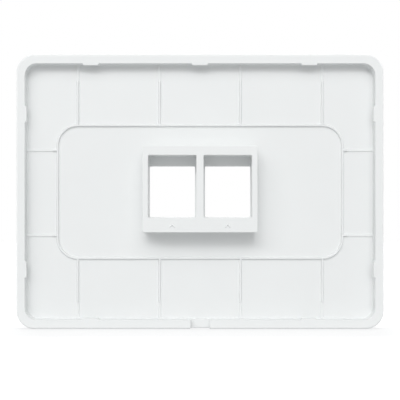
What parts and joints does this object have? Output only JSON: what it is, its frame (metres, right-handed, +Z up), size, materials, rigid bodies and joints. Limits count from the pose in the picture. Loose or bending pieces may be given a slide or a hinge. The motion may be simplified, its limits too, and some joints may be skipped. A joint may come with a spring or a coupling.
{
  "type": "keystone faceplate",
  "caption": "Landscape keystone wall plate: a shallow ribbed tray whose lugged rim snaps over a mounting frame, with a central block of side-by-side jack ports.",
  "frame": {"origin": "centre of the plane in which the rim's back edge meets the wall", "axes": "+X to the right seen from the room, +Y into the wall, +Z up; the plain face looks along -Y"},
  "size_m": [0.119, 0.01, 0.089],
  "materials": {
    "white_abs": "white moulded ABS with a fine satin surface"
  },
  "bodies": {
    "root": {"faceplate": "white_abs"}
  },
  "joints": []
}
